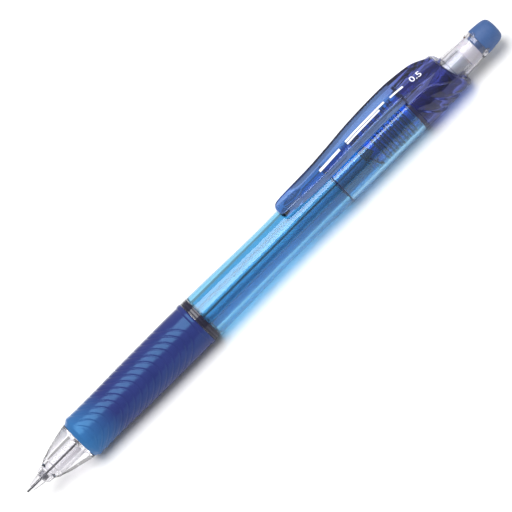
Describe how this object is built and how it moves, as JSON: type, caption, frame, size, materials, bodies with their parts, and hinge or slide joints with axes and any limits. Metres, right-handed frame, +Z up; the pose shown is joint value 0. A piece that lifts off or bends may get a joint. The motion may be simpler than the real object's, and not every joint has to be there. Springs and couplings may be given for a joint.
{
  "type": "mechanical pencil",
  "caption": "Slim mechanical pencil with a transparent blue barrel, clear nose, rippled rubber grip, blue pocket clip, clear knock button and blue eraser.",
  "frame": {"origin": "centre of the bounding box at its lowest plane, midway between the lead's point and the eraser's end", "axes": "+X along the pencil from the point to the eraser, +Z up towards the clip, Y across; symmetric shells about the XZ plane"},
  "size_m": [0.148, 0.0116, 0.0142],
  "materials": {
    "lead": "dark grey graphite and polymer",
    "clear_plastic": "clear polished plastic",
    "retainer": "soft grey rubber",
    "grip_rubber": "satin translucent blue rubber with fine ripples",
    "ring_plastic": "polished dark blue",
    "brass": "turned brass",
    "white_plastic": "frosted white",
    "spring_steel": "drawn spring steel wire",
    "tube_plastic": "translucent pale blue",
    "barrel_plastic": "transparent blue, polished",
    "insert_plastic": "dark translucent blue",
    "cap_plastic": "deep translucent blue, polished",
    "eraser_rubber": "matte blue eraser"
  },
  "bodies": {
    "barrel": {"barrel": "barrel_plastic", "clutch_sleeve": "white_plastic", "return_spring": "spring_steel", "rear_sleeve": "barrel_plastic", "rear_insert": "insert_plastic", "clip_cap": "cap_plastic"},
    "clip": {"clip": "cap_plastic"},
    "plunger": {"chuck_stem": "brass", "tube_connector": "white_plastic", "lead_tube": "tube_plastic", "spare_leads": "lead", "knock_button": "clear_plastic"},
    "jaw_1": {"chuck_jaw_1": "brass"},
    "jaw_2": {"chuck_jaw_2": "brass"},
    "jaw_3": {"chuck_jaw_3": "brass"},
    "clutch_ring": {"clutch_ring": "brass"},
    "lead": {"lead": "lead"},
    "front_guide": {"lead_retainer": "retainer"},
    "front": {"nose_cone": "clear_plastic", "rubber_grip": "grip_rubber", "coupling_ring": "ring_plastic"},
    "eraser": {"eraser": "eraser_rubber", "eraser_holder": "white_plastic"}
  },
  "joints": [
    {"name": "clip_flex", "type": "hinge", "parent": "barrel", "child": "clip", "pos_m": [0.0496, 0, 0.01295], "axis": [0, 1, 0], "range_deg": [0, 6], "stiffness_Nm_per_rad": 3},
    {"name": "knock", "type": "slide", "parent": "barrel", "child": "plunger", "axis": [-1, 0, 0], "range_m": [0, 0.004], "stiffness_N_per_m": 1200, "deforming": ["return_spring"]},
    {"name": "ring_slide", "type": "slide", "parent": "barrel", "child": "clutch_ring", "axis": [-1, 0, 0], "range_m": [0, 0.0006]},
    {"name": "lead_feed", "type": "slide", "parent": "barrel", "child": "lead", "axis": [-1, 0, 0], "range_m": [-0.00135, 0.008]},
    {"name": "front_slide", "type": "slide", "parent": "barrel", "child": "front_guide", "axis": [-1, 0, 0], "range_m": [0, 0.0045]},
    {"name": "front_turn", "type": "hinge", "parent": "front_guide", "child": "front", "pos_m": [-0.0576, 0, 0.00582], "axis": [1, 0, 0], "range_deg": [0, 1080]},
    {"name": "eraser_pull", "type": "slide", "parent": "plunger", "child": "eraser", "axis": [1, 0, 0], "range_m": [0, 0.012]},
    {"name": "jaw_1_open", "type": "hinge", "parent": "plunger", "child": "jaw_1", "pos_m": [-0.05, 0, 0.00682], "axis": [0, 1, 0], "range_deg": [0, 1.5]},
    {"name": "jaw_2_open", "type": "hinge", "parent": "plunger", "child": "jaw_2", "pos_m": [-0.05, -0.00087, 0.00532], "axis": [0, -0.5, 0.866], "range_deg": [0, 1.5]},
    {"name": "jaw_3_open", "type": "hinge", "parent": "plunger", "child": "jaw_3", "pos_m": [-0.05, 0.00087, 0.00532], "axis": [0, -0.5, -0.866], "range_deg": [0, 1.5]}
  ],
  "couplings": [
    {"joint": "ring_slide", "follows": "knock", "ratio": 0.15},
    {"joint": "jaw_1_open", "follows": "knock", "rad_per_m": 6.5449},
    {"joint": "jaw_2_open", "follows": "knock", "rad_per_m": 6.5449},
    {"joint": "jaw_3_open", "follows": "knock", "rad_per_m": 6.5449},
    {"joint": "front_slide", "follows": "front_turn", "m_per_rad": 0.00023873}
  ]
}
